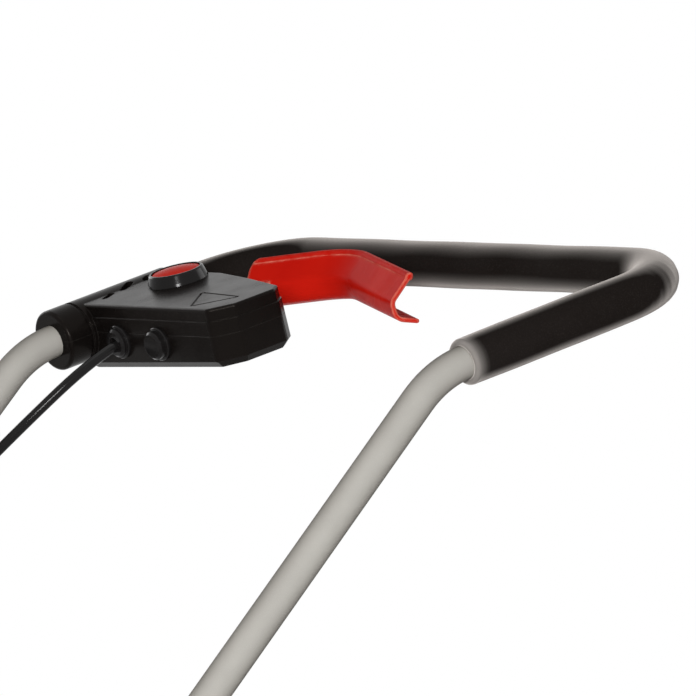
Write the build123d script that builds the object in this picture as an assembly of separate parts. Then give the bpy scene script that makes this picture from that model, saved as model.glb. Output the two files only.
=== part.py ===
from build123d import *
import math
import os

# A battery reel mower with a folding handle. Millimetres. +Z is up, the mower is pushed
# towards -Y and its operator stands at +Y. X runs across the mower.

# Handle tubes
tube_diameter = 22.0
tube_wall = 1.5
corner_radius = 56.0
grip_length = 187.0
grip_slope = 16.25
leg_slope = 48.0
knee_radius = 82.0
upper_leg_length = 430.0
lower_leg_length = 524.0
tube_overrun = 24.0
cap_head = 4.0
cap_plug = 12.0
foam_diameter = 31.0
foam_end = 189.5

# Fold joint
bolt_diameter = 8.0
bolt_head_height = 5.5
bolt_head_width = 14.0
saddle_web = 2.4
saddle_wrap = 6.0
saddle_radius = 17.0
knob_radius = 24.0
knob_depth = 22.0
knob_lobes = 5
knob_lobe_radius = 8.0
knob_grip = 16.0

# Switch housing, measured from the axis of the tube that carries it and from the crossbar; the
# cuts give how far each corner lies in from the end, and from the front or the back
housing_front = 165.0
housing_back = 86.0
housing_width = 168.0
housing_top = 18.8
housing_depth = 21.5
housing_drop = 5.5
housing_wall = 2.5
housing_corner = 5.5
nose_cut = [(14.0, 0.0), (1.0, 16.0)]
tail_cut = [(0.0, 30.0), (9.0, 20.5), (60.0, 8.0), (101.0, 0.0)]
housing_step = 10.0
housing_step_inset = 0.9
housing_chamfer = 4.8
collar_radius = 20.9
collar_front = 188.0
collar_groove = 169.0
collar_wall = 4.0
post_radius = 4.0
housing_screw = 3.0
housing_posts = [(66, 152), (148, 146), (143, 118), (24, 140)]
arrow_corners = [(100.0, 128.5), (154.0, 134.0), (128.0, 159.0)]
arrow_line = 1.8
arrow_depth = 0.8
slot_width = 5.0
slot_depth = 5.0
saddle_slots = [(13.5, 145.0, 15.0), (8.0, 125.5, 17.0), (7.0, 107.0, 9.0)]
slot_turn = -60.0

# Lock button and its ring
button_x = 45.0
button_s = 108.0
button_radius = 16.75
button_top = 28.0
button_travel = 4.0
button_wall = 2.5
button_dome = 2.0
button_stem = 4.0
ring_radius = 21.0
ring_height = 8.0
ring_wall = 2.0
ring_spigot = 5.0
spring_wire = 1.2

# Trigger lever
pivot_x = 78.0
pivot_s = 106.0
pivot_pin = 6.0
hub_radius = 8.0
arm_thickness = 8.0
lever_start = (55.0, 52.1)
lever_bend = (127.4, 18.3)
lever_end = (255.0, 68.0)
lever_bend_radius = 75.0
lever_wall = 3.0
lever_height = 31.0
lever_depth = 18.0
lever_nose = 6.0
lever_heel = 7.0
lever_bead = 2.5
lever_corner = 7.0
trigger_swing = 10.0
arm_roots = [(62.0, 66.0), (71.0, 61.0)]
mouth_x = 73.0
arm_mouth = 42.0
tail_length = 14.0
tail_radius = 4.0
switch_width = 20.0
switch_length = 24.0
plunger_reach = 3.0

# Glands and cable
gland_x = 46.0
plug_x = 92.0
gland_h = -6.0
gland_radius = 11.5
gland_length = 6.0
plug_length = 7.5
gland_spigot = 4.0
gland_flange = 2.4
cable_diameter = 7.0
clip_wall = 1.5
clip_length = 14.0
cable_slack = 8.0
cable_exit = (12.0, 66.0, -20.5)
under_from = 130.0
upper_turn = 123.0
upper_swing = (30.0, 55.0, -10.0)
upper_bends = [12.0, 90.0, 120.0, 90.0, 70.0, 20.0]
pivot_lead = (15.0, 20.0, 55.0)
lower_turn = 104.0
lower_bends = [30.0, 60.0, 60.0, 30.0, 22.0]
upper_clip_ends = (150.0, 163.0)
lower_clip_ends = (100.0, 144.0)
entry_inset = 20.0
entry_y = 88.0
entry_loop = (-24.0, 44.0, 46.0)
entry_rise = 40.0

# Deck
cutting_width = 340.0
reel_end_gap = 5.0
plate_thickness = 5.0
deck_top = 225.0
cover_depth = 30.0
cover_wall = 2.5
cover_screw = 4.0
cover_room = 22.0
cover_axle_radius = 21.0
cover_vents = 4
cover_vent_length = 26.0
hood_wall = 3.0
hood_front_z = 118.0
hood_rear_z = 186.0
band_inset = 52.0
band_width = 36.0
band_height = 2.0
vent_count = 3
vent_pitch = 9.0
vent_width = 3.5
vent_length = 34.0
vent_z = 152.0
socket_y = 95.0
socket_z = 212.0
socket_length = 58.0
socket_wall = 5.0
socket_pad = 7.9
socket_ear_radius = 16.0
ear_offset = 13.0
carrier_ear = 16.0
front_circle = (-50.0, 40.0)

# Reel and its drive
reel_y = -30.0
reel_z = 95.0
reel_radius = 60.0
blade_count = 5
blade_height = 15.0
blade_thickness = 3.0
blade_twist = 62.0
spider_count = 4
spider_thickness = 4.0
spider_hub = 14.0
spider_arm = 11.0
reel_shaft = 14.0
bearing_radius = 15.0
shroud_gap = 8.0
shroud_wall = 2.0
shroud_turns = (125.5, 77.0, 28.6)
motor_y = 35.0
motor_radius = 29.0
motor_length = 84.0
motor_shaft = 8.0
motor_boss = 12.0
motor_screw_circle = 20.0
motor_margin = 7.0
pulley_width = 12.0
pulley_flange = 3.0
reel_pulley_radius = 30.0
motor_pulley_radius = 10.0
belt_thickness = 3.0
belt_width = 8.0

# Bedknife and tie bars
knife_angle = 75.0
knife_gap = 0.4
knife_thickness = 3.0
knife_depth = 30.0
bar_height = 17.0
bar_front = 15.0
bar_lip = 3.0
bar_ramp = 29.0
bar_flat = 4.0
bar_back = 44.0
knife_screws = 5
knife_screw = 5.0
tie_radius = 7.0
tie_y = -78.0
tie_z = 160.0
rear_bar_y = 98.0
rear_bar_z = 161.0
rear_bar_height = 24.0
rear_bar_thickness = 4.0
peg_diameter = 8.0
peg_length = 30.0
peg_spacing = 240.0

# Wheels
wheel_diameter = 210.0
wheel_width = 40.0
wheel_gap = 6.0
axle_y = 25.0
axle_diameter = 12.0
axle_flange = 4.0
axle_ring = 2.0
tyre_depth = 9.0
tread_blocks = 30
tread_depth = 2.5
hub_outer = 17.0
wheel_web = 4.0
wheel_holes = 6
wheel_hole_radius = 13.0
cap_radius = 21.0
cap_height = 7.0

# Rear roller and its carrier
carrier_y = 72.0
carrier_z = 78.0
carrier_pin = 10.0
carrier_boss = 12.0
cross_reach = 40.0
cross_radius = 6.0
lever_tip = 5.0
roller_y = 150.0
roller_diameter = 45.0
roller_axle = 10.0
arm_plate = 5.0
arm_gap = 4.0
lever_reach = 96.0
lever_angle = 49.0
ball_radius = 9.0
sector_radius = 60.0
sector_notches = 5
sector_step = 5.0
peg_radius = 2.5

# Battery bay
tray_width = 150.0
tray_length = 104.0
tray_y = 7.0
tray_depth = 49.0
tray_wall = 2.5
tray_flange = 6.0
flange_thickness = 2.0
pack_gap = 1.5
pack_height = 42.0
lid_margin = 3.0
lid_height = 16.0
lid_wall = 2.5
lid_groove_x = 42.0
lid_groove_width = 4.0
hinge_pin = 4.0
hinge_offset = 12.0
hinge_reach = 62.0
knuckle_radius = 5.0
knuckle_width = 8.0
controller_width = 72.0
controller_height = 34.0
controller_y = (-12.0, 58.0)
controller_fins = 6
fin_gap = 4.0

# Fits
running = 0.3
slip = 0.15

# Derived sizes
pin_length = housing_depth + housing_top - 2 * housing_wall + 2
pin_middle = (housing_top - housing_depth) / 2
screw_seat = 3.0 - housing_depth
tail_tip = pivot_x + tail_radius + tail_length * math.sin(math.radians(trigger_swing)) + running
switch_x = tail_tip + plunger_reach
switch_y = (-pivot_s - switch_length - 4, -pivot_s - 4)
switch_half = arm_thickness / 2 + 2
dome_sphere = (button_radius ** 2 + button_dome ** 2) / (2 * button_dome)
tube_r = tube_diameter / 2
tube_ri = tube_r - tube_wall
plate_in = cutting_width / 2 + reel_end_gap
plate_out = plate_in + plate_thickness
lower_x = plate_out + socket_pad + socket_wall + tube_r
upper_x = lower_x + tube_diameter + 2 * saddle_web + running
grip_width = 2 * upper_x
cover_out = plate_out + cover_depth
band_x = cutting_width / 2 - band_inset
wheel_in = cover_out + wheel_gap
wheel_out = wheel_in + wheel_width
wheel_radius = wheel_diameter / 2
motor_z = deck_top - motor_radius - motor_margin
hood_top = deck_top + running + hood_wall
roller_z = roller_diameter / 2
cable_r = cable_diameter / 2
deck_entry = (entry_inset - cutting_width / 2, entry_y)
hinge_y = tray_y + tray_length / 2 + tray_flange + hinge_offset
hinge_z = hood_top + flange_thickness + knuckle_radius + 1
hinge_lugs = [-hinge_reach, hinge_reach]


def step(slope):
    """Unit step (y, z) up a line of the given slope."""
    return math.cos(math.radians(slope)), math.sin(math.radians(slope))


def along(start, slope, distance):
    dy, dz = step(slope)
    return start[0] + dy * distance, start[1] + dz * distance


knee_tangent = knee_radius * math.tan(math.radians(leg_slope - grip_slope) / 2)
fold_point = along((socket_y, socket_z), leg_slope, lower_leg_length)
knee_point = along(fold_point, leg_slope, upper_leg_length + knee_tangent)
bar_point = along(knee_point, grip_slope, grip_length + knee_tangent)
upper_end = along(fold_point, leg_slope, -tube_overrun)
lower_end = along(fold_point, leg_slope, tube_overrun)

# Cable's places beside the legs: distances down from the knee, across and above the tube's axis
fold_t = upper_leg_length + knee_tangent
clip_reach = tube_r + clip_wall + cable_r
under_x = 6.0
under_q = -math.sqrt(clip_reach ** 2 - under_x ** 2)
bolt_side_x = upper_x - lower_x + tube_r + saddle_web + bolt_head_height + cable_r + 1.5
lower_side_x = upper_x - lower_x + clip_reach

# Grip frame: x across from the tube's axis, y up the grip towards the crossbar, z out of the grip
grip_frame = Location((-upper_x, bar_point[0], bar_point[1]), (grip_slope, 0, 0))


def at(x, s, h=0.0):
    """Place in the grip frame, s being the distance from the crossbar's axis."""
    return Pos(x, -s, h)


def grip_point(x, s, h=0.0):
    return (grip_frame * at(x, s, h)).position


def leg_plane(x, point):
    """Plane across a leg, with its z up the leg and its y towards the leg's underside."""
    dy, dz = step(leg_slope)
    return Plane(origin=(x, point[0], point[1]), x_dir=(1, 0, 0), z_dir=(0, dy, dz))


def disc(y, z, r):
    return Pos(y, z) * Circle(r)


def slab(face, x0, x1):
    """Carries a side view (y, z) across the mower from x0 to x1."""
    return Pos(x0, 0, 0) * extrude(Plane.YZ * face, x1 - x0)


def rod(y, z, r, x0, x1):
    return slab(disc(y, z, r), x0, x1)


def box_between(x, y, z):
    """A block from three (low, high) pairs."""
    size = [pair[1] - pair[0] for pair in (x, y, z)]
    middle = [(pair[1] + pair[0]) / 2 for pair in (x, y, z)]
    return Pos(*middle) * Box(*size)


def hull(circles):
    """Outline drawn tight round circles given as (y, z, radius)."""
    return make_hull([edge for c in circles for edge in disc(*c).edges()])


def pipe(path, outer, inner=0.0):
    section = Circle(outer) - Circle(inner) if inner else Circle(outer)
    return sweep(Plane(origin=path @ 0, z_dir=path % 0) * section, path=path)


def turned(points):
    """Solid turned about the z axis from an (r, z) outline."""
    return revolve(Plane.XZ * make_face(Polyline(*points, close=True)), Axis.Z)


def both_sides(piece):
    return [piece, mirror(piece, Plane.YZ)]


def group(*pieces):
    solids = []
    for piece in pieces:
        for each in piece if isinstance(piece, list) else [piece]:
            solids += each.solids()
    return Compound(children=solids)


def screw(length, shank, head, head_height):
    """Screw along -z with its head's underside at the origin."""
    body = Pos(0, 0, -length / 2) * Cylinder(shank / 2, length)
    return body + Pos(0, 0, head_height / 2) * Cylinder(head / 2, head_height)


# ---- Handle tubes ----

def handle_path(first, last):
    """Middle line of the grip, from a distance down one leg of it to a distance down the other."""
    places = [(0, first), (0, 0), (grip_width, 0), (grip_width, last)]
    points = [grip_point(x, s) for x, s in places]
    return FilletPolyline(*points, radius=corner_radius)


def upper_tube():
    points = [(-upper_x, *upper_end), (-upper_x, *knee_point), (-upper_x, *bar_point)]
    points += [(-x, y, z) for x, y, z in reversed(points)]
    path = FilletPolyline(*points, radius=[knee_radius, corner_radius, corner_radius, knee_radius])
    tube = pipe(path, tube_r, tube_ri)
    reach = upper_x + tube_diameter
    return tube - rod(*fold_point, bolt_diameter / 2 + slip, -reach, reach)


def foam_grip():
    path = handle_path(housing_back, foam_end)
    return pipe(path, foam_diameter / 2, tube_r)


def tube_cap(x, point, facing):
    """Plug in the open end of a tube; facing is +1 at an upper end and -1 at a lower one."""
    plane = leg_plane(x, point)
    head = Pos(0, 0, cap_head / 2) * Cylinder(tube_r, cap_head)
    head = fillet(head.edges().group_by(Axis.Z)[-1], cap_head * 0.45)
    plug = Pos(0, 0, -cap_plug / 2) * Cylinder(tube_ri - slip, cap_plug)
    piece = head + plug
    if facing < 0:
        piece = Rot(180, 0, 0) * piece
    return plane * piece


def lower_tube(side):
    plane = leg_plane(side * lower_x, (socket_y, socket_z))
    length = lower_leg_length + tube_overrun
    tube = Pos(0, 0, length / 2) * (Cylinder(tube_r, length) - Cylinder(tube_ri, length))
    hole = Pos(0, 0, socket_length * 0.5) * Rot(0, 90, 0) * Cylinder(cover_screw / 2 + slip, 3 * tube_r)
    tube = plane * (tube - hole)
    middle = side * lower_x
    bolt = rod(*fold_point, bolt_diameter / 2 + slip, middle - tube_diameter, middle + tube_diameter)
    return tube - bolt


# ---- Fold joint ----

def saddle(x, outward):
    """Washer that is flat on one side and hollowed to sit on a tube on the other.

    x is the tube's axis; outward is +1 when the flat side lies at greater x."""
    flat = x + outward * (tube_r + saddle_web)
    foot = x + outward * (tube_r - saddle_wrap)
    washer = rod(*fold_point, saddle_radius, min(flat, foot), max(flat, foot))
    tube = leg_plane(x, fold_point) * Cylinder(tube_r, 4 * saddle_radius)
    bolt = rod(*fold_point, bolt_diameter / 2 + slip, x - 3 * tube_r, x + 3 * tube_r)
    return washer - tube - bolt


def clamp_bolt(side):
    head_in = lower_x - tube_r - saddle_web
    hexagon = RegularPolygon(bolt_head_width / 2, 6, major_radius=False)
    head = slab(Pos(*fold_point) * hexagon, head_in - bolt_head_height, head_in)
    tip = upper_x + tube_r + saddle_web + knob_depth - 4 * running - 3
    bolt = head + rod(*fold_point, bolt_diameter / 2, head_in, tip)
    return bolt if side > 0 else mirror(bolt, Plane.YZ)


def clamp_knob(side):
    face = upper_x + tube_r + saddle_web + running
    lobes = Circle(knob_radius - knob_lobe_radius * 0.6)
    for i in range(knob_lobes):
        turn = 360 / knob_lobes * i
        lobes += Rot(0, 0, turn) * Pos(knob_radius - knob_lobe_radius, 0) * Circle(knob_lobe_radius)
    star = slab(Pos(*fold_point) * lobes, face + knob_depth - knob_grip, face + knob_depth)
    star = fillet(star.edges().group_by(Axis.X)[-1], 2.0)
    knob = star + rod(*fold_point, knob_radius * 0.55, face, face + knob_depth - knob_grip)
    knob -= rod(*fold_point, bolt_diameter / 2 + slip, face - 1, face + knob_depth - 3)
    return knob if side > 0 else mirror(knob, Plane.YZ)


# ---- Switch housing, built in the grip frame ----

def housing_outline():
    """Outline from above: a straight front, a clipped corner and a back that leans with the lever."""
    points = [(0, -housing_front)]
    points += [(housing_width - x, y - housing_front) for x, y in nose_cut]
    points += [(housing_width - x, -y - housing_back) for x, y in tail_cut]
    points += [(0, -housing_back)]
    return make_face(Polyline(*points, close=True))


def housing_plan(inset):
    """The outline with rounded corners, drawn in all round."""
    face = housing_outline()
    face = fillet(face.vertices().filter_by(lambda v: v.X > 1), housing_corner)
    return offset(face, -inset, kind=Kind.INTERSECTION)


def along_tube(r, s0, s1):
    """Round bar about the carrying tube, from s0 to s1 down from the crossbar."""
    return at(0, (s0 + s1) / 2) * Rot(90, 0, 0) * Cylinder(r, abs(s1 - s0))


def housing_floor():
    """Everything below the sloping underside, which is deepest beside the tube."""
    deep = housing_depth + housing_drop
    far = 2 * housing_width
    slope = housing_drop / housing_width
    side = Polyline((-far, -deep - slope * far), (far, -deep + slope * far), (far, -4 * deep),
                    (-far, -4 * deep), close=True)
    return extrude(Plane.XZ * make_face(side), far, both=True)


def housing_block():
    deep = housing_depth + housing_drop
    lower = Pos(0, 0, -deep) * extrude(housing_outline(), deep + housing_step) - housing_floor()
    lower = chamfer(lower.faces().sort_by(Axis.Z)[0].edges(), housing_chamfer)
    lower = fillet(lower.edges().filter_by(Axis.Z).filter_by(lambda e: e.center().X > 1), housing_corner)
    upper = Pos(0, 0, housing_step) * extrude(housing_plan(housing_step_inset), housing_top - housing_step)
    upper = fillet(upper.edges().group_by(Axis.Z)[-1], 2.0)
    sleeve = along_tube(collar_radius, housing_back, collar_front)
    sleeve = fillet(sleeve.edges().filter_by(GeomType.CIRCLE), 2.5)
    groove = along_tube(collar_radius + 1, collar_groove - 1.2, collar_groove + 1.2)
    groove -= along_tube(collar_radius - 1.2, collar_groove - 3, collar_groove + 3)
    return lower + upper + sleeve - groove


def housing_cavity():
    inner = housing_plan(housing_wall + housing_step_inset)
    height = housing_top + housing_depth - 2 * housing_wall
    room = Pos(0, 0, -housing_depth + housing_wall) * extrude(inner, height)
    room -= along_tube(tube_r + collar_wall, 0, 2 * housing_front)
    bolts = [at(x, s) * Cylinder(post_radius, 4 * housing_depth) for x, s in housing_posts]
    room -= at(pivot_x, pivot_s) * Cylinder(hub_radius - 1, 4 * housing_depth)
    stem = at(button_x, button_s, -housing_depth / 2) * Cylinder(button_stem * 2, housing_depth)
    shelf_x = (switch_x + 2, switch_x + switch_width - 2)
    shelf = box_between(shelf_x, switch_y, (-housing_depth, -switch_half))
    return room - bolts - stem - shelf


def lever_room():
    """Room for the lever's arm, its hub and its tail, over the whole swing."""
    half = arm_thickness / 2 + running
    clear = at(pivot_x, pivot_s) * Cylinder(hub_radius + 1, 2 * half)
    mouth_s = (housing_back + pivot_s) / 2 - 3
    mouth = at(mouth_x, mouth_s) * Box(arm_mouth, pivot_s - housing_back + 2, 2 * half)
    return clear + mouth


def triangle_groove():
    face = fillet(make_face(Polyline(*[(x, -s) for x, s in arrow_corners], close=True)).vertices(), 2.0)
    ring = face - offset(face, -arrow_line)
    return Pos(0, 0, housing_top - arrow_depth) * extrude(ring, 2 * arrow_depth)


def finger_slots():
    """Three short slots moulded into the saddle over the tube."""
    slots = []
    for x, s, length in saddle_slots:
        slot = Rot(0, 0, slot_turn) * extrude(SlotOverall(length, slot_width), collar_radius)
        slots.append(at(x, s, collar_radius - slot_depth) * slot)
    return slots


def housing_holes():
    cuts = [at(button_x, button_s, housing_top) * Cylinder(ring_radius - ring_wall + slip, 12)]
    bore = button_stem + running
    cuts.append(at(button_x, button_s, 0) * Cylinder(bore, 2 * (housing_depth - housing_wall)))
    for x in (gland_x, plug_x):
        hole = Rot(90, 0, 0) * Cylinder(gland_radius - 2 + slip, 4 * housing_wall)
        cuts.append(at(x, housing_front, gland_h) * hole)
    cuts.append(at(pivot_x, pivot_s, pin_middle) * Cylinder(pivot_pin / 2, pin_length))
    for x, s in housing_posts:
        cuts.append(at(x, s, -housing_depth / 2) * Cylinder(housing_screw / 2 + slip, 2 * housing_depth))
        sink = Pos(0, 0, -housing_depth) * Cylinder(housing_screw + 0.5, 2 * housing_depth)
        cuts.append(at(x, s, screw_seat) * sink)
    cuts.append(along_tube(tube_r + slip, 0, 2 * housing_front))
    return cuts


def housing_halves():
    body = housing_block() - housing_cavity() - housing_holes() - lever_room()
    body = body - triangle_groove() - finger_slots()
    half = 3 * housing_width
    top = body & (Pos(0, 0, half / 2) * Box(2 * half, 2 * half, half))
    bottom = body & (Pos(0, 0, -half / 2) * Box(2 * half, 2 * half, half))
    return grip_frame * top, grip_frame * bottom


def housing_screws():
    pieces = []
    for x, s in housing_posts:
        one = screw(housing_depth + 4, housing_screw, 2 * housing_screw, 2)
        pieces.append(at(x, s, screw_seat) * Rot(180, 0, 0) * one)
    return group([grip_frame * piece for piece in pieces])


def button_collar():
    """Ring that flares out on to the housing, with a spigot through its top."""
    bore = button_radius + running
    points = [(bore, housing_top - ring_spigot), (ring_radius - ring_wall, housing_top - ring_spigot),
              (ring_radius - ring_wall, housing_top), (ring_radius, housing_top),
              (ring_radius - 0.4, housing_top + 1.8), (bore + 1.8, housing_top + ring_height - 1.0),
              (bore + 1.0, housing_top + ring_height), (bore, housing_top + ring_height)]
    return grip_frame * (at(button_x, button_s) * turned(points))


def lock_button():
    """Domed cap with a skirt, and a stem that slides in the lower shell."""
    skirt = housing_top - ring_spigot
    under = button_top - button_dome - button_wall
    cap = Pos(0, 0, skirt) * extrude(Circle(button_radius), button_top - skirt)
    cap = cap & Pos(0, 0, button_top - dome_sphere) * Sphere(dome_sphere)
    rim = cap.edges().filter_by(lambda e: e.geom_type == GeomType.CIRCLE and e.is_closed)
    cap = fillet(rim.sort_by(Axis.Z)[-1], 1.2)
    cap -= Pos(0, 0, skirt) * extrude(Circle(button_radius - button_wall), under - skirt)
    stem_low = -arm_thickness / 2 - button_travel
    cap += Pos(0, 0, stem_low) * extrude(Circle(button_stem), under - stem_low + 1)
    return grip_frame * (at(button_x, button_s) * cap)


def coil(radius, height, turns, wire):
    path = Helix(height / turns, height, radius)
    start = Plane(origin=path @ 0, z_dir=path % 0)
    return sweep(start * RegularPolygon(wire / 2, 6), path=path)


def button_spring():
    """Stands on the stem's guide and pushes on the inside of the cap."""
    under = button_top - button_dome - button_wall
    height = under - spring_wire - 2 * slip
    spring = Pos(0, 0, spring_wire / 2 + slip) * coil(button_stem + 1.6, height, 5, spring_wire)
    return grip_frame * (at(button_x, button_s) * spring)


def lever_pin():
    return grip_frame * (at(pivot_x, pivot_s, pin_middle) * Cylinder(pivot_pin / 2 - slip / 2, pin_length))


def lever_spring():
    """Torsion coil round the lower post, under the arm."""
    top = -arm_thickness / 2 - running - spring_wire / 2
    low = -housing_depth + housing_wall + spring_wire
    spring = at(pivot_x, pivot_s, low) * coil(hub_radius - 1 + running + spring_wire / 2,
                                                      top - low, 4, spring_wire)
    return grip_frame * spring


def trigger_lever():
    """Open channel that the fingers pull towards the crossbar, on an arm from the pivot."""
    path = FilletPolyline(*[(x, -s, 0) for x, s in (lever_start, lever_bend, lever_end)],
                          radius=lever_bend_radius)
    direction = path % 0
    across = direction.cross(Vector(0, 0, 1))
    plane = Plane(origin=path @ 0, x_dir=across, z_dir=direction)
    half = lever_height / 2
    deep = lever_depth - lever_wall / 2
    corners = [(0, -half), (deep, -1), (deep - 0.5, half * 0.7), (lever_wall, half)]
    line = FilletPolyline(*corners, radius=[lever_nose, lever_heel])
    section = make_face(Wire(line.edges()).offset_2d(lever_wall / 2, kind=Kind.ARC).edges())
    section += Pos(lever_bead / 2, lever_bead - half - lever_wall / 2) * Circle(lever_bead)
    channel = sweep(plane * section, path=path)
    inward = lever_corner / 2
    waste = Box(4 * lever_depth, lever_corner, lever_corner)
    waste -= Pos(0, inward, inward) * Rot(0, 90, 0) * Cylinder(lever_corner, 4 * lever_depth)
    channel -= plane * Pos(0, inward - lever_wall / 2 - half, inward) * waste
    arm = hull([(pivot_x, -pivot_s, hub_radius)] + [(x, -s, hub_radius) for x, s in arm_roots])
    tail = hull([(pivot_x, -pivot_s, hub_radius - 2), (pivot_x, -pivot_s - tail_length, tail_radius)])
    arms = Pos(0, 0, -arm_thickness / 2) * (extrude(arm, arm_thickness) + extrude(tail, arm_thickness))
    lever = channel + arms
    lever -= at(pivot_x, pivot_s) * Cylinder(pivot_pin / 2 + slip / 2, 2 * arm_thickness)
    return grip_frame * lever


def microswitch():
    """Switch that the lever's tail pushes at the end of the pull."""
    body = box_between((switch_x, switch_x + switch_width), switch_y, (-switch_half, switch_half))
    plunger = at(switch_x - plunger_reach / 2 + 0.2, pivot_s + tail_length) * Box(plunger_reach + 0.4, 3, 3)
    return grip_frame * (body + plunger)


def gland(x, end, bore=0.0):
    """Fitting in the housing's front face, with a flange, a rounded nose and an inner spigot."""
    r = gland_radius
    inside = [(0, -gland_spigot), (r - 2, -gland_spigot), (r - 2, 0)]
    flange = [(r, 0), (r, gland_flange - 0.6), (r - 0.6, gland_flange), (r - 1.6, gland_flange)]
    nose = [(r - 1.8, end - 1.6), (r - 3.4, end), (0, end)]
    piece = turned(inside + flange + nose)
    if bore:
        piece -= Cylinder(bore, 60)
        piece -= Pos(0, 0, end) * Cone(bore, bore + 2.2, 3)
    return grip_frame * (at(x, housing_front, gland_h) * Rot(90, 0, 0) * piece)


# ---- Cable ----

def leg_point(x, t, q):
    """Point beside the switch housing's leg: x inboard of its axis, t down from the knee, q above it."""
    dy, dz = step(leg_slope)
    y, z = along(knee_point, leg_slope, -t)
    return Vector(-upper_x + x, y - dz * q, z + dy * q)


def cable(points, radii):
    path = FilletPolyline(*points, radius=radii)
    return pipe(path, cable_r)


def cable_upper():
    """From inside the housing, down under the upper tube and out beside the clamp bolt's head."""
    swing_x, swing_t, swing_q = upper_swing
    turn_t = fold_t - upper_turn
    points = [grip_point(gland_x, housing_front - 2 * gland_length, gland_h),
              grip_point(gland_x, housing_front + gland_length + cable_slack, gland_h),
              leg_point(*cable_exit), leg_point(under_x, under_from, under_q),
              leg_point(under_x, turn_t, under_q), leg_point(swing_x, turn_t + swing_t, swing_q),
              leg_point(bolt_side_x, fold_t - pivot_lead[0], 0), leg_point(bolt_side_x, fold_t, 0)]
    return cable(points, upper_bends)


def cable_lower():
    """From the fold's axis, down the inside of the lower tube and into the hood from above."""
    entry = Vector(*deck_entry, hood_top)
    points = [leg_point(bolt_side_x, fold_t, 0), leg_point(bolt_side_x, fold_t + pivot_lead[1], 0),
              leg_point(lower_side_x, fold_t + pivot_lead[2], 0),
              leg_point(lower_side_x, fold_t + lower_leg_length - lower_turn, 0),
              entry + Vector(*entry_loop), entry + Vector(0, 0, entry_rise),
              entry - Vector(0, 0, cable_slack)]
    return cable(points, lower_bends)


def cable_clip(x, q):
    """Two joined rings, one round the tube and one round the cable; x and q from the tube's axis."""
    tube_ring = Circle(tube_r + clip_wall)
    cable_ring = Pos(x, -q) * Circle(cable_r + clip_wall)
    holes = Circle(tube_r) + Pos(x, -q) * Circle(cable_r)
    return extrude(tube_ring + cable_ring - holes, clip_length / 2, both=True)


def upper_clips():
    pieces = []
    for t in (upper_clip_ends[0], fold_t - upper_clip_ends[1]):
        y, z = along(knee_point, leg_slope, -t)
        pieces.append(leg_plane(-upper_x, (y, z)) * cable_clip(under_x, under_q))
    return group(pieces)


def lower_clips():
    pieces = []
    for t in (lower_clip_ends[0], lower_leg_length - lower_clip_ends[1]):
        y, z = along(fold_point, leg_slope, -t)
        pieces.append(leg_plane(-lower_x, (y, z)) * cable_clip(clip_reach, 0))
    return group(pieces)


def deck_gland():
    r = cable_r + 4
    piece = turned([(cable_r, -hood_wall - 2), (r, -hood_wall - 2), (r, 0), (r + 3, 0), (r + 3, 2),
                    (cable_r + 1.5, 9), (cable_r, 9)])
    return Pos(*deck_entry, hood_top) * piece


# ---- Frame ----

def frame_circles(grow=0.0):
    """Circles that the side plates are drawn round: reel, front top, motor, handle socket, carrier."""
    front_y, front_r = front_circle
    ear_y = socket_y + ear_offset
    circles = [(reel_y, reel_z, reel_radius + shroud_gap), (front_y, deck_top - front_r, front_r),
               (motor_y, motor_z, motor_radius + motor_margin),
               (ear_y, deck_top - socket_ear_radius, socket_ear_radius),
               (carrier_y, carrier_z, carrier_ear)]
    return [(y, z, r + grow) for y, z, r in circles]


def side_plate(side):
    """Plate on the left or right; the right one carries the notched arc of the height lever."""
    plate = slab(hull(frame_circles()), plate_in, plate_out)
    plate -= rod(reel_y, reel_z, bearing_radius + slip, 0, cover_out)
    plate -= rod(carrier_y, carrier_z, carrier_pin / 2 + slip, 0, cover_out)
    for y, z in cover_points():
        plate -= rod(y, z, cover_screw / 2 + slip, 0, cover_out)
    if side > 0:
        plate -= rod(motor_y, motor_z, motor_boss + slip, 0, cover_out)
        for y, z in motor_screw_points():
            plate -= rod(y, z, cover_screw / 2 + slip, 0, cover_out)
        return plate
    return mirror(plate, Plane.YZ) + height_sector()


def deck_hood():
    """Shell over the tops of the side plates, with the battery bay's hole and two hinge lugs."""
    shell = slab(hull(frame_circles(running + hood_wall)), -plate_out + running, plate_out - running)
    shell = fillet(shell.edges().group_by(Axis.X)[0] + shell.edges().group_by(Axis.X)[-1], hood_wall * 0.7)
    for x in (-band_x, band_x):
        outline = hull(frame_circles(running + hood_wall + band_height))
        band = slab(outline, x - band_width / 2, x + band_width / 2)
        ends = band.edges().group_by(Axis.X)[0] + band.edges().group_by(Axis.X)[-1]
        shell += chamfer(ends, band_height * 0.8)
    shell -= slab(hull(frame_circles(running)), -plate_out, plate_out)
    across = (-plate_out, plate_out)
    keep = box_between(across, (-2 * deck_top, motor_y), (hood_front_z, 2 * deck_top))
    keep += box_between(across, (motor_y - 1, 2 * deck_top), (hood_rear_z, 2 * deck_top))
    shell = shell & keep
    shell -= Pos(0, tray_y, hood_top) * Box(tray_width + 2 * running, tray_length + 2 * running, 40)
    for x in hinge_lugs:
        foot = (hinge_y, hood_top - hood_wall / 2, knuckle_radius - 1.5)
        lug = hull([(hinge_y, hinge_z, knuckle_radius), foot])
        shell += slab(lug, x - knuckle_width / 2, x + knuckle_width / 2)
    shell -= rod(hinge_y, hinge_z, hinge_pin / 2 + slip, -plate_in, plate_in)
    vent = Rot(90, 0, 0) * extrude(Rot(0, 0, 90) * SlotOverall(vent_length, vent_width), 4 * motor_radius)
    for i in range(vent_count):
        x = band_x + vent_pitch * (i - (vent_count - 1) / 2)
        shell -= Pos(x, front_circle[0], vent_z) * vent
    shell -= Pos(*deck_entry, hood_top) * Cylinder(cable_r + 4 + slip, 30)
    return shell


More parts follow.
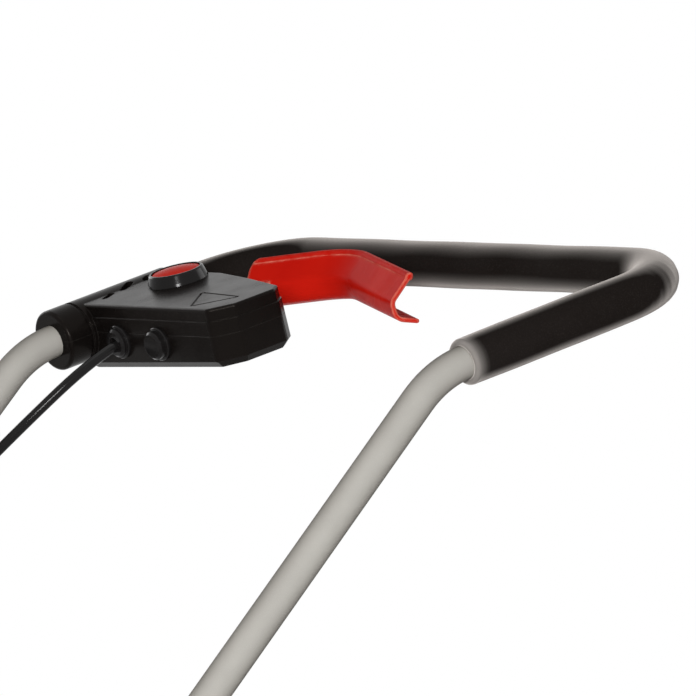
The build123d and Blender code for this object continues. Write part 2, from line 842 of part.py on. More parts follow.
def reel_shroud():
    """Curved guard above the reel, open at the front and behind."""
    r = reel_radius + shroud_gap - shroud_wall
    ring = disc(reel_y, reel_z, r + shroud_wall) - disc(reel_y, reel_z, r)
    corners = [along((reel_y, reel_z), turn, 2 * reel_radius) for turn in shroud_turns]
    arc = make_face(Polyline((reel_y, reel_z), *corners, close=True))
    return slab(ring & arc, -plate_in, plate_in)


def cover_circles(grow=0.0):
    circles = [(reel_y, reel_z, reel_pulley_radius + cover_room)]
    circles += [(motor_y, motor_z, motor_pulley_radius + cover_room)]
    circles += [(axle_y, wheel_radius, cover_axle_radius)]
    return [(y, z, r + grow) for y, z, r in circles]


def cover_points():
    """Where the covers are screwed on, round the reel's pulley and round the motor's."""
    reach = cover_room - 2 * cover_screw
    points = [along((reel_y, reel_z), turn, reel_pulley_radius + reach) for turn in (120, 200, 290)]
    points += [along((motor_y, motor_z), turn, motor_pulley_radius + reach) for turn in (10, 90)]
    return points


def side_cover(side):
    """Cover outside a plate; the left one hides the belt."""
    cover = slab(hull(cover_circles()), plate_out, cover_out)
    cover = fillet(cover.edges().group_by(Axis.X)[-1], 4.0)
    cover -= slab(hull(cover_circles(-cover_wall)), plate_out, cover_out - cover_wall)
    for y, z in cover_points():
        cover += rod(y, z, post_radius, plate_out, cover_out - cover_wall / 2)
        cover -= rod(y, z, cover_screw / 2 + slip, plate_out - 1, cover_out + 1)
    cover -= rod(axle_y, wheel_radius, axle_diameter / 2 + running, plate_out, cover_out + 1)
    for i in range(cover_vents):
        y, z = along((motor_y - motor_radius, wheel_radius + 1.6 * cover_vent_length), 61, 10 * i)
        vent = Pos(y, z) * Rot(0, 0, 20) * SlotOverall(cover_vent_length, 3)
        cover -= slab(vent, cover_out - 2 * cover_wall, cover_out + 1)
    return cover if side > 0 else mirror(cover, Plane.YZ)


def cover_screws():
    pieces = []
    for y, z in cover_points():
        one = screw(cover_depth + plate_thickness - 1, cover_screw, 2 * cover_screw, 2.5)
        pieces += both_sides(Pos(cover_out, y, z) * Rot(0, 90, 0) * one)
    return group(pieces)


def handle_socket(side):
    """Block on the outside of the plate, with a blind bore for the lower tube."""
    plane = leg_plane(lower_x, (socket_y, socket_z))
    r = tube_r + socket_wall
    low = -socket_wall
    barrel = Pos(0, 0, low) * extrude(Circle(r), socket_length - low)
    barrel = fillet(barrel.edges().group_by(Axis.Z)[-1], 2.0)
    depth = lower_x - plate_out
    high = socket_length * 0.62
    pad = Pos(-depth / 2, 0, (high + low) / 2) * Box(depth, 2 * r, high - low)
    block = barrel + pad - extrude(Circle(tube_r + slip), 2 * socket_length)
    block -= Pos(0, 0, socket_length * 0.5) * Rot(0, 90, 0) * Cylinder(cover_screw / 2 + slip, 5 * r)
    block = plane * block
    return block if side > 0 else mirror(block, Plane.YZ)


def socket_screws():
    plane = leg_plane(lower_x, (socket_y, socket_z))
    reach = tube_r + socket_wall
    one = screw(2 * reach - 1, cover_screw, 2 * cover_screw, 2.5)
    return group(both_sides(plane * (Pos(reach, 0, socket_length * 0.5) * Rot(0, 90, 0) * one)))


def bedknife_edge():
    turn = math.radians(knife_angle)
    r = reel_radius + knife_gap
    return reel_y + r * math.cos(turn), reel_z - r * math.sin(turn)


def bedknife_blade():
    y, z = bedknife_edge()
    points = [(y, z), (y + knife_depth, z), (y + knife_depth, z - knife_thickness)]
    points += [(y + 3, z - knife_thickness)]
    blade = slab(make_face(Polyline(*points, close=True)), -cutting_width / 2, cutting_width / 2)
    return blade - knife_screw_holes()


def knife_screw_places():
    y, z = bedknife_edge()
    pitch = cutting_width / knife_screws
    return [(pitch * (i - (knife_screws - 1) / 2), y + knife_depth * 0.7, z) for i in range(knife_screws)]


def knife_screw_holes():
    return [Pos(x, y, z - knife_thickness) * Cylinder(knife_screw / 2 + slip, 30)
            for x, y, z in knife_screw_places()]


def bedknife_bar():
    y, z = bedknife_edge()
    outline = [(bar_front, 0), (bar_front, bar_lip), (bar_ramp, bar_height - bar_flat)]
    outline += [(bar_back - bar_flat, bar_height), (bar_back, bar_height), (bar_back, 0)]
    bar = make_face(Polyline(*[(y + a, z + b) for a, b in outline], close=True))
    bar = slab(bar, -plate_in, plate_in)
    deep = knife_screw + 2 * knife_thickness
    return bar - [Pos(x, sy, sz) * Cylinder(knife_screw / 2 + slip, 2 * deep)
                  for x, sy, sz in knife_screw_places()]


def bedknife_screws():
    one = screw(knife_thickness + 1.6 * knife_screw, knife_screw, 1.8 * knife_screw, knife_screw / 2)
    return group([Pos(x, y, z - knife_thickness) * Rot(180, 0, 0) * one for x, y, z in knife_screw_places()])


def front_tie_bar():
    bar = rod(tie_y, tie_z, tie_radius, -plate_in, plate_in)
    return bar - rod(tie_y, tie_z, tie_radius - 2, -plate_in - 1, plate_in + 1)


def rear_tie_bar():
    """Flat bar across the back of the frame, with folded ends and two pegs for a grass box."""
    half = rear_bar_height / 2
    bar = box_between((-plate_in, plate_in), (rear_bar_y, rear_bar_y + rear_bar_thickness),
                      (rear_bar_z - half, rear_bar_z + half))
    tab = box_between((plate_in - rear_bar_thickness, plate_in), (rear_bar_y - 20, rear_bar_y + 1),
                      (rear_bar_z - half, rear_bar_z + half))
    back = rear_bar_y + rear_bar_thickness
    peg = Pos(peg_spacing / 2, back + peg_length / 2, rear_bar_z) * Rot(90, 0, 0) * Cylinder(
        peg_diameter / 2, peg_length)
    peg = chamfer(peg.edges().group_by(Axis.Y)[-1], 1.0)
    return group(bar + both_sides(tab), both_sides(peg))


# ---- Reel and drive ----

def reel_shaft_bar():
    """Shaft with a collar between each end star and its bearing."""
    bar = rod(reel_y, reel_z, reel_shaft / 2, -plate_out - 4, plate_out + 3 + pulley_width)
    star_end = spider_places()[-1] + spider_thickness / 2 + running
    collar = rod(reel_y, reel_z, reel_shaft / 2 + 2, star_end, plate_in - 6)
    return bar + both_sides(collar)


def twist_at(x):
    return blade_twist * x / cutting_width


def spider_places():
    first = cutting_width / 2 - 8
    return [-first + 2 * first * i / (spider_count - 1) for i in range(spider_count)]


def reel_core():
    """Shaft and the stars pressed on it, each turned so that its arms meet the twisted blades."""
    pieces = [reel_shaft_bar()]
    for x in spider_places():
        star = Circle(spider_hub)
        reach = reel_radius - blade_height
        for i in range(blade_count):
            arm = Pos(reach / 2, 0) * Rectangle(reach, spider_arm)
            star += Rot(0, 0, 360 / blade_count * i + twist_at(x)) * arm
        star = Pos(reel_y, reel_z) * (star - Circle(reel_shaft / 2))
        pieces.append(slab(star, x - spider_thickness / 2, x + spider_thickness / 2))
    return group(pieces)


def reel_blades():
    """Helical blades: a radial strip turned steadily as it is carried across the reel."""
    low = reel_radius - blade_height
    strip = Pos((low + reel_radius) / 2, 0) * Rectangle(blade_height, blade_thickness)
    strip = strip & Circle(reel_radius)
    blades = []
    for i in range(blade_count):
        start = Rot(0, 0, 360 / blade_count * i - blade_twist / 2) * strip
        twisted = Solid.extrude_linear_with_rotation(start.faces()[0], (0, 0, 0), (0, 0, cutting_width),
                                                     blade_twist)
        blades.append(Plane.YZ.location * twisted)
    place = Pos(-cutting_width / 2, reel_y, reel_z)
    return group([place * blade for blade in blades])


def pulley(y, z, radius, bore):
    """Flat-belt pulley with two flanges, beside the plate's outer face."""
    x0 = plate_out + 3
    x1 = x0 + pulley_width
    wheel = rod(y, z, radius, x0, x1)
    edge = (pulley_width - belt_width) / 2 - running
    for a in (x0, x1 - edge):
        wheel += rod(y, z, radius + pulley_flange, a, a + edge)
    if bore:
        wheel -= rod(y, z, bore, x0 - 1, x1 + 1)
    return wheel


def reel_pulley():
    wheel = pulley(reel_y, reel_z, reel_pulley_radius, reel_shaft / 2)
    for i in range(5):
        y, z = along((reel_y, reel_z), 72 * i, reel_pulley_radius * 0.62)
        wheel -= rod(y, z, reel_pulley_radius * 0.16, plate_out, cover_out)
    return wheel


def motor_pulley():
    shaft = rod(motor_y, motor_z, motor_shaft / 2, plate_in - 12, plate_out + 3)
    return pulley(motor_y, motor_z, motor_pulley_radius, 0) + shaft


def drive_belt():
    circles = [(reel_y, reel_z, reel_pulley_radius + running / 2)]
    circles += [(motor_y, motor_z, motor_pulley_radius + running / 2)]
    loop = hull([(y, z, r + belt_thickness) for y, z, r in circles]) - hull(circles)
    x0 = plate_out + 3 + (pulley_width - belt_width) / 2
    return slab(loop, x0, x0 + belt_width)


def motor_can():
    can = rod(motor_y, motor_z, motor_radius, plate_in - motor_length, plate_in)
    can = fillet(can.edges().group_by(Axis.X)[0], 3.0)
    can += rod(motor_y, motor_z, motor_boss, plate_in - 1, plate_out)
    can -= rod(motor_y, motor_z, motor_shaft / 2 + running, plate_in - 14, plate_out + 1)
    for y, z in motor_screw_points():
        can -= rod(y, z, cover_screw / 2 + slip, plate_in - 10, plate_in + 1)
    return can


def motor_screw_points():
    return [along((motor_y, motor_z), turn, motor_screw_circle) for turn in (-20, 55, 130)]


def motor_screws():
    one = screw(plate_thickness + 8, cover_screw, 2 * cover_screw, 2.5)
    return group([Pos(plate_out, y, z) * Rot(0, 90, 0) * one for y, z in motor_screw_points()])


def reel_bearings():
    bearing = rod(reel_y, reel_z, bearing_radius, plate_in - 1, plate_out)
    bearing += rod(reel_y, reel_z, bearing_radius + 4, plate_in - 3, plate_in)
    bearing -= rod(reel_y, reel_z, reel_shaft / 2 + slip, 0, cover_out)
    return group(both_sides(bearing))


# ---- Wheels ----

def wheel_axles():
    """Stub axles with a flange on the plate and a retaining ring inside the hub cap."""
    end = wheel_out - axle_flange
    r = axle_diameter / 2
    axle = rod(axle_y, wheel_radius, r, plate_out, end)
    axle += rod(axle_y, wheel_radius, r + 2 * axle_flange, plate_out, plate_out + axle_flange)
    axle += rod(axle_y, wheel_radius, r + axle_ring, end - axle_ring, end - axle_ring / 4)
    return group(both_sides(axle))


def wheel_disc(side):
    """Moulded wheel: hub, thin web with round holes, and a rim under the tyre."""
    rim = wheel_radius - tyre_depth
    wheel = rod(axle_y, wheel_radius, rim, wheel_in, wheel_out)
    wheel -= rod(axle_y, wheel_radius, rim - 5, wheel_in - 1, wheel_out + 1)
    middle = (wheel_in + wheel_out) / 2
    web = rod(axle_y, wheel_radius, rim - 4, middle - wheel_web / 2, middle + wheel_web / 2)
    for i in range(wheel_holes):
        y, z = along((axle_y, wheel_radius), 360 / wheel_holes * i, rim * 0.6)
        web -= rod(y, z, wheel_hole_radius, wheel_in, wheel_out)
    for i in range(wheel_holes):
        turn = 360 / wheel_holes * (i + 0.5)
        rib = Pos((rim + hub_outer) / 2 - 3, 0) * Rectangle(rim - hub_outer, 3)
        web += slab(Pos(axle_y, wheel_radius) * Rot(0, 0, turn) * rib, middle - 12, middle + 12)
    wheel += web + rod(axle_y, wheel_radius, hub_outer, wheel_in - 3, wheel_out)
    wheel -= rod(axle_y, wheel_radius, axle_diameter / 2 + running, wheel_in - 5, wheel_out)
    wheel -= rod(axle_y, wheel_radius, axle_diameter / 2 + 4, wheel_out - 8, wheel_out + 1)
    return wheel if side > 0 else mirror(wheel, Plane.YZ)


def tyre(side):
    rim = wheel_radius - tyre_depth
    ring = rod(axle_y, wheel_radius, wheel_radius, wheel_in, wheel_out)
    ring = fillet(ring.edges(), 2.0)
    ring -= rod(axle_y, wheel_radius, rim, wheel_in - 1, wheel_out + 1)
    groove = Pos(wheel_radius, 0) * Rectangle(2 * tread_depth, 5)
    cuts = []
    for i in range(tread_blocks):
        cut = slab(Pos(axle_y, wheel_radius) * Rot(0, 0, 360 / tread_blocks * i) * groove,
                   wheel_in + 3, wheel_out - 3)
        cuts.append(cut)
    ring -= cuts
    return ring if side > 0 else mirror(ring, Plane.YZ)


def hub_cap(side):
    """Cap that snaps over the hub and hides the axle's end."""
    cap = rod(axle_y, wheel_radius, cap_radius, wheel_out, wheel_out + cap_height)
    cap = fillet(cap.edges().group_by(Axis.X)[-1], cap_height * 0.6)
    cap -= rod(axle_y, wheel_radius, axle_diameter / 2 + 4, wheel_out - 1, wheel_out + 2)
    return cap if side > 0 else mirror(cap, Plane.YZ)


# ---- Roller carrier ----

def carrier_turn(radius, turn):
    return along((carrier_y, carrier_z), turn, radius)


def roller_carrier():
    """Two arms, a cross tube, the roller's axle and the height lever, in one welded piece."""
    outer = plate_in - arm_gap
    inner = outer - arm_plate
    arm = hull([(carrier_y, carrier_z, carrier_boss), (roller_y, roller_z, roller_axle)])
    arms = slab(arm, inner, outer)
    arms += mirror(arms, Plane.YZ)
    y, z = carrier_turn(cross_reach, -36)
    arms += rod(y, z, cross_radius, -inner, inner)
    arms += rod(roller_y, roller_z, roller_axle / 2, -inner, inner)
    pins = rod(carrier_y, carrier_z, carrier_pin / 2, inner, plate_out + 2)
    arms += pins + mirror(pins, Plane.YZ)
    tip = carrier_turn(lever_reach, lever_angle)
    lever = hull([(carrier_y, carrier_z, carrier_boss), (*tip, lever_tip)])
    arms += slab(lever, -outer, -inner)
    peg = carrier_turn(sector_radius + peg_radius + running, lever_angle)
    arms += rod(*peg, peg_radius, -plate_in + running, -outer)
    return arms


def height_knob():
    tip = carrier_turn(lever_reach, lever_angle)
    outer = plate_in - arm_gap
    middle = -outer + arm_plate / 2
    ball = Pos(middle, *tip) * Sphere(ball_radius)
    lever = hull([(carrier_y, carrier_z, carrier_boss), (*tip, lever_tip)])
    slot = slab(lever, -outer, -outer + arm_plate)
    return ball - slot


def height_sector():
    """Toothed arc beside the height lever; the lever's peg passes over its notches."""
    spread = sector_step * (sector_notches - 1) / 2 + 8
    arc = [carrier_turn(2 * sector_radius, lever_angle + sign * spread) for sign in (-1, 1)]
    wedge = make_face(Polyline((carrier_y, carrier_z), *arc, close=True))
    face = disc(carrier_y, carrier_z, sector_radius) - disc(carrier_y, carrier_z, sector_radius - 16)
    face &= wedge
    for i in range(sector_notches):
        turn = lever_angle + sector_step * (i - (sector_notches - 1) / 2)
        y, z = carrier_turn(sector_radius + peg_radius * 0.6, turn)
        face -= disc(y, z, peg_radius)
    return slab(face, -plate_in, -plate_in + arm_gap - 2 * running)


def rear_roller():
    half = plate_in - arm_gap - arm_plate - 1.5
    roller = rod(roller_y, roller_z, roller_diameter / 2, -half, half)
    roller = fillet(roller.edges(), 2.0)
    roller -= rod(roller_y, roller_z, roller_axle / 2 + running, -half - 1, half + 1)
    ring = disc(roller_y, roller_z, roller_diameter) - disc(roller_y, roller_z, roller_diameter / 2 - 1.5)
    for x in (-half / 2, 0, half / 2):
        roller -= slab(ring, x - 2, x + 2)
    return roller


# ---- Battery bay ----

def battery_tray():
    floor = hood_top - tray_depth
    tray = Pos(0, tray_y, (hood_top + floor) / 2) * Box(tray_width, tray_length, tray_depth)
    flange = Pos(0, tray_y, hood_top + flange_thickness / 2) * Box(
        tray_width + 2 * tray_flange, tray_length + 2 * tray_flange, flange_thickness)
    flange = fillet(flange.edges().filter_by(Axis.Z), 6)
    inner = Pos(0, tray_y, hood_top + tray_wall) * Box(
        tray_width - 2 * tray_wall, tray_length - 2 * tray_wall, 2 * tray_depth)
    return tray + flange - inner


def battery_pack():
    floor = hood_top - tray_depth + tray_wall
    width = tray_width - 2 * tray_wall - 2 * pack_gap
    length = tray_length - 2 * tray_wall - 2 * pack_gap
    pack = Pos(0, tray_y, floor + pack_height / 2) * Box(width, length, pack_height)
    pack = fillet(pack.edges().filter_by(Axis.Z), 6)
    pack = fillet(pack.edges().group_by(Axis.Z)[-1], 2.5)
    recess = Pos(0, tray_y, floor + pack_height) * Box(width * 0.6, length * 0.42, 16)
    bridge = Pos(0, tray_y, floor + pack_height - 4) * Box(width * 0.62, 14, 8)
    return pack - recess + bridge


def lid_half():
    return tray_width / 2 + tray_flange + lid_margin, tray_length / 2 + tray_flange + lid_margin


def battery_lid():
    """Shallow cover with a domed edge, two knuckles behind and a finger lip in front."""
    half_x, half_y = lid_half()
    low = hood_top + flange_thickness + running
    lid = Pos(0, tray_y, low + lid_height / 2) * Box(2 * half_x, 2 * half_y, lid_height)
    lid = fillet(lid.edges().filter_by(Axis.Z), 9)
    lid = fillet(lid.edges().group_by(Axis.Z)[-1], 6)
    lid -= Pos(0, tray_y, low + (lid_height - lid_wall) / 2) * Box(
        2 * (half_x - lid_wall), 2 * (half_y - lid_wall), lid_height - lid_wall)
    for x in (-lid_groove_x, 0, lid_groove_x):
        lid -= Pos(x, tray_y, low + lid_height) * Box(lid_groove_width, 1.3 * half_y, lid_groove_width / 2)
    lid += Pos(0, tray_y - half_y - 3, low + 4) * Box(40, 8, 4)
    for x in hinge_lugs:
        inner = x - math.copysign(knuckle_width + running, x)
        arm = hull([(hinge_y, hinge_z, knuckle_radius), (tray_y + half_y - 2, low + 6, 4)])
        lid += slab(arm, inner - knuckle_width / 2, inner + knuckle_width / 2)
    lid -= rod(hinge_y, hinge_z, hinge_pin / 2 + slip, -plate_in, plate_in)
    return lid


def lid_pin():
    reach = max(hinge_lugs) + knuckle_width / 2 + 1
    return rod(hinge_y, hinge_z, hinge_pin / 2, -reach, reach)


def controller_box():
    """Speed controller beside the tray, with cooling fins along its top."""
    low = hood_top - tray_depth + 4
    high = low + controller_height
    box = box_between((-plate_in, controller_width - plate_in), controller_y, (low, high))
    box = fillet(box.edges().filter_by(Axis.Z), 3)
    pitch = controller_width / (controller_fins + 1)
    for i in range(controller_fins):
        x = pitch * (i + 1) - plate_in
        box -= box_between((x - fin_gap / 2, x + fin_gap / 2), (controller_y[0] - 2, controller_y[1] + 2),
                           (high - controller_height * 0.18, high + 1))
    return box


housing_upper, housing_lower = housing_halves()

deck_screws = [socket_screws(), cover_screws(), bedknife_screws(), motor_screws()]

nodes = {
    "upper_tube": upper_tube(),
    "foam_grip": foam_grip(),
    "upper_tube_caps": group([tube_cap(side * upper_x, upper_end, -1) for side in (-1, 1)]),
    "upper_saddles": group([saddle(side * upper_x, way) for side in (-1, 1) for way in (-1, 1)]),
    "switch_housing_top": housing_upper,
    "switch_housing_bottom": housing_lower,
    "housing_screws": housing_screws(),
    "button_collar": button_collar(),
    "button_spring": button_spring(),
    "lever_pin": lever_pin(),
    "lever_spring": lever_spring(),
    "microswitch": microswitch(),
    "cable_gland": gland(gland_x, gland_length, cable_r),
    "blank_plug": gland(plug_x, plug_length),
    "cable_upper": cable_upper(),
    "cable_clips_upper": upper_clips(),
    "trigger_lever": trigger_lever(),
    "lock_button": lock_button(),
    "lower_tubes": group([lower_tube(side) for side in (-1, 1)]),
    "lower_tube_caps": group([tube_cap(side * lower_x, lower_end, 1) for side in (-1, 1)]),
    "lower_saddles": group([saddle(side * lower_x, way) for side in (-1, 1) for way in (-1, 1)]),
    "clamp_bolts": group([clamp_bolt(side) for side in (-1, 1)]),
    "cable_lower": cable_lower(),
    "cable_clips_lower": lower_clips(),
    "deck_cable_gland": deck_gland(),
    "handle_sockets": group([handle_socket(side) for side in (-1, 1)]),
    "deck_screws": group(deck_screws),
    "deck_hood": deck_hood(),
    "reel_shroud": reel_shroud(),
    "bedknife_bar": bedknife_bar(),
    "bedknife_blade": bedknife_blade(),
    "tie_bars": group([front_tie_bar(), rear_tie_bar()]),
    "motor_can": motor_can(),
    "motor_pulley": motor_pulley(),
    "drive_belt": drive_belt(),
    "reel_core": reel_core(),
    "reel_blades": reel_blades(),
    "reel_pulley": reel_pulley(),
    "reel_bearings": reel_bearings(),
    "wheel_axles": wheel_axles(),
    "roller_carrier": roller_carrier(),
    "height_knob": height_knob(),
    "rear_roller": rear_roller(),
    "battery_tray": battery_tray(),
    "battery_pack": battery_pack(),
    "battery_lid": battery_lid(),
    "lid_pin": lid_pin(),
    "controller_box": controller_box(),
}
for hand, side in (("left", 1), ("right", -1)):
    nodes[f"clamp_knob_{hand}"] = clamp_knob(side)
    nodes[f"side_plate_{hand}"] = side_plate(side)
    nodes[f"side_cover_{hand}"] = side_cover(side)
    nodes[f"wheel_{hand}"] = wheel_disc(side)
    nodes[f"tyre_{hand}"] = tyre(side)
    nodes[f"hub_cap_{hand}"] = hub_cap(side)

# The origin is under the middle of the whole mower, on the ground
whole = Compound(children=[solid for piece in nodes.values() for solid in piece.solids()]).bounding_box()
to_origin = Pos(-(whole.min.X + whole.max.X) / 2, -(whole.min.Y + whole.max.Y) / 2, -whole.min.Z)

os.makedirs("parts", exist_ok=True)
for name, piece in nodes.items():
    export_step(to_origin * piece, f"parts/{name}.step")
print(len(nodes), "nodes")
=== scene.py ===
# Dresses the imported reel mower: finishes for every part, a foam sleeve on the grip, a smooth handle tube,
# the switch lead, and a merged copy of the button's spring.
import math
import bmesh
import bpy
import numpy as np
from mathutils import Matrix, Vector


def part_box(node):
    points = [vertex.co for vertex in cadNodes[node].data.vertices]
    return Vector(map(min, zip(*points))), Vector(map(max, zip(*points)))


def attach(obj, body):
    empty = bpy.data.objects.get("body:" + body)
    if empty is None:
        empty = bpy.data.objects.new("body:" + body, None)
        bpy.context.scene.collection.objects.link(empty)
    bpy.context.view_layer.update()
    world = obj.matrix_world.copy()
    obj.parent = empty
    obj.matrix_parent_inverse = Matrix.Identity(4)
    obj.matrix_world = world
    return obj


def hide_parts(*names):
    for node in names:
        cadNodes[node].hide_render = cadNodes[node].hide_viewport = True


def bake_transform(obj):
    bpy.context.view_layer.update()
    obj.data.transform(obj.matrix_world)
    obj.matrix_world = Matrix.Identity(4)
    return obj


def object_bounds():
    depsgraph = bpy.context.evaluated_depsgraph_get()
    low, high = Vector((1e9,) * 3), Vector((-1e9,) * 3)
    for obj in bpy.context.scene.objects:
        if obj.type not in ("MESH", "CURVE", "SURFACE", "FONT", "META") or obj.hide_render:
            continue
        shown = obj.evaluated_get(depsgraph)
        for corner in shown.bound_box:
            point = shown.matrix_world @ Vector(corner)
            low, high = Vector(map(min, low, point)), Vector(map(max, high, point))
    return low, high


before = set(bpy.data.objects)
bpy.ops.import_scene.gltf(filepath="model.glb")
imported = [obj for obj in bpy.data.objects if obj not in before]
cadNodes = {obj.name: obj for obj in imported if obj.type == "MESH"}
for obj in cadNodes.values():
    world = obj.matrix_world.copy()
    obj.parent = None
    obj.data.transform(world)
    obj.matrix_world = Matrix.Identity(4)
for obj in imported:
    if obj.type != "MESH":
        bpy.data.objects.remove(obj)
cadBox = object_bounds()
mm = 0.001
print("frame loaded:", len(cadNodes), "nodes")

# The handle's own axes: across from the switch side's tube, down the grip, and out of the grip
handle = {"tube": 22 * mm, "foam": 31 * mm, "gripWidth": 462 * mm, "cornerRadius": 56 * mm,
          "gripLength": 187 * mm, "gripSlope": 16.25, "legSlope": 48.0, "kneeRadius": 82 * mm,
          "upperLeg": 430 * mm, "foamEnd": 189.5 * mm}
foamLow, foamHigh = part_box("foam_grip")
gripCentre = Vector((0, foamHigh.y - handle["foam"] / 2, foamHigh.z - handle["foam"] / 2))
gripAngle = math.radians(handle["gripSlope"])
legAngle = math.radians(handle["legSlope"])
downGrip = np.array([0, -math.cos(gripAngle), -math.sin(gripAngle)])
outOfGrip = np.array([0, -math.sin(gripAngle), math.cos(gripAngle)])
downLeg = np.array([0, -math.cos(legAngle), -math.sin(legAngle)])
outOfLeg = np.array([0, -math.sin(legAngle), math.cos(legAngle)])
across = np.array([1.0, 0, 0])
switchSide = np.array(gripCentre) - across * handle["gripWidth"] / 2
kneeTangent = handle["kneeRadius"] * math.tan((legAngle - gripAngle) / 2)
knee = switchSide + downGrip * (handle["gripLength"] + kneeTangent)


def gripPoint(x, s, h=0.0):
    # the switch side's corner, plus x across, s down the grip and h out of it
    return switchSide + across * x + downGrip * s + outOfGrip * h


def legPoint(x, t, q=0.0):
    # the switch side's knee, plus x across, t down the leg and q out of it
    return knee + across * x + downLeg * t + outOfLeg * q


view = {"back": (4.79773, -3.60416, 0.17084), "right": (0.58953, 0.80774, -0.00237),
        "up": (-0.02892, 0.02404, 0.99929), "away": (0.80723, -0.58905, 0.03753),
        "lens": 467.6, "sensor": 36, "farthest": 60}
cameraData = bpy.data.cameras.new("camera")
camera = bpy.data.objects.new("camera", cameraData)
bpy.context.scene.collection.objects.link(camera)
turn = Matrix((view["right"], view["up"], view["away"])).transposed()
camera.matrix_world = Matrix.Translation(gripCentre + Vector(view["back"])) @ turn.to_4x4()
cameraData.sensor_width = view["sensor"]
cameraData.lens = view["lens"]
cameraData.clip_end = view["farthest"]
bpy.context.scene.camera = camera
bpy.context.scene.view_settings.view_transform = "Standard"

studio = {"roomLight": 0.12, "floorColour": (0.86, 0.86, 0.86), "floorRadius": 9, "floorSides": 96,
          "floorDrop": 0.5 * mm, "floorRough": 0.9, "floorSpecular": 0.1, "floorFade": (0.5, 2.6, 0.45, 1),
          "lampAim": 0.7,
          "lamps": {"frontLamp": {"at": (3.4, -2.6, 1.6), "size": 1.0, "power": 190},
                    "topLamp": {"at": (0.2, -0.6, 3.9), "size": 1.8, "power": 14},
                    "sideLamp": {"at": (-3.3, 0.2, 2.2), "size": 1.8, "power": 26},
                    "backLamp": {"at": (0.9, 3.5, 1.9), "size": 1.8, "power": 26}}}


def seenDirect(nodes, links):
    # 1 where a ray comes from the camera or a mirror-like bounce, 0 for the light that falls on the parts
    path = nodes.new("ShaderNodeLightPath")
    total = nodes.new("ShaderNodeMath")
    total.operation = "MAXIMUM"
    links.new(path.outputs["Is Camera Ray"], total.inputs[0])
    both = nodes.new("ShaderNodeMath")
    both.operation = "MAXIMUM"
    links.new(path.outputs["Is Glossy Ray"], both.inputs[0])
    links.new(path.outputs["Is Transmission Ray"], both.inputs[1])
    links.new(both.outputs[0], total.inputs[1])
    return total.outputs[0]


def makeWorld():
    # a mix by seenDirect: white where the room is seen, dim grey light where it falls on the parts
    world = bpy.data.worlds.new("room")
    bpy.context.scene.world = world
    world.use_nodes = True
    nodes, links = world.node_tree.nodes, world.node_tree.links
    plain = nodes["Background"]
    plain.inputs["Color"].default_value = (1, 1, 1, 1)
    plain.inputs["Strength"].default_value = studio["roomLight"]
    white = nodes.new("ShaderNodeBackground")
    white.inputs["Color"].default_value = (1, 1, 1, 1)
    white.inputs["Strength"].default_value = 1
    choose = nodes.new("ShaderNodeMixShader")
    links.new(seenDirect(nodes, links), choose.inputs[0])
    links.new(plain.outputs[0], choose.inputs[1])
    links.new(white.outputs[0], choose.inputs[2])
    links.new(choose.outputs[0], nodes["World Output"].inputs["Surface"])


def makeFloor():
    # a disc at floor level whose rim lies at the cosine and sine of even turns; towards the camera it
    # goes from a share of its own shaded paper near the middle to plain white further out
    sides = studio["floorSides"]
    around = np.linspace(0, 2 * math.pi, sides, endpoint=False)
    rim = np.stack([np.cos(around), np.sin(around), np.zeros(sides)], 1) * studio["floorRadius"]
    mesh = bpy.data.meshes.new("floor")
    level = [0, 0, cadBox[0].z - studio["floorDrop"]]
    mesh.from_pydata((rim + level).tolist(), [], [list(range(sides))])
    floor = bpy.data.objects.new("floor", mesh)
    bpy.context.scene.collection.objects.link(floor)
    paper = bpy.data.materials.new("floorPaper")
    paper.use_nodes = True
    nodes, links = paper.node_tree.nodes, paper.node_tree.links
    shader = nodes["Principled BSDF"]
    shader.inputs["Base Color"].default_value = (*studio["floorColour"], 1)
    shader.inputs["Roughness"].default_value = studio["floorRough"]
    shader.inputs["Specular IOR Level"].default_value = studio["floorSpecular"]
    white = nodes.new("ShaderNodeEmission")
    white.inputs["Color"].default_value = (1, 1, 1, 1)
    white.inputs["Strength"].default_value = 1
    place = nodes.new("ShaderNodeTexCoord")
    reach = nodes.new("ShaderNodeVectorMath")
    reach.operation = "LENGTH"
    links.new(place.outputs["Object"], reach.inputs[0])
    fade = nodes.new("ShaderNodeMapRange")
    fade.interpolation_type = "SMOOTHSTEP"
    for socket, value in zip(("From Min", "From Max", "To Min", "To Max"), studio["floorFade"]):
        fade.inputs[socket].default_value = value
    links.new(reach.outputs["Value"], fade.inputs["Value"])
    share = nodes.new("ShaderNodeMath")
    share.operation = "MULTIPLY"
    links.new(fade.outputs[0], share.inputs[0])
    links.new(seenDirect(nodes, links), share.inputs[1])
    choose = nodes.new("ShaderNodeMixShader")
    links.new(share.outputs[0], choose.inputs[0])
    links.new(shader.outputs[0], choose.inputs[1])
    links.new(white.outputs[0], choose.inputs[2])
    links.new(choose.outputs[0], nodes["Material Output"].inputs["Surface"])
    mesh.materials.append(paper)


def makeLamps():
    # square soft lamps, each facing the point that is lampAim of the way from the origin to the grip
    for name, lamp in studio["lamps"].items():
        data = bpy.data.lights.new(name, "AREA")
        data.size = lamp["size"]
        data.energy = lamp["power"]
        thing = bpy.data.objects.new(name, data)
        bpy.context.scene.collection.objects.link(thing)
        thing.location = lamp["at"]
        facing = gripCentre * studio["lampAim"] - Vector(lamp["at"])
        thing.rotation_euler = facing.to_track_quat("-Z", "Y").to_euler()


makeWorld()
makeFloor()
makeLamps()
print("studio ready")


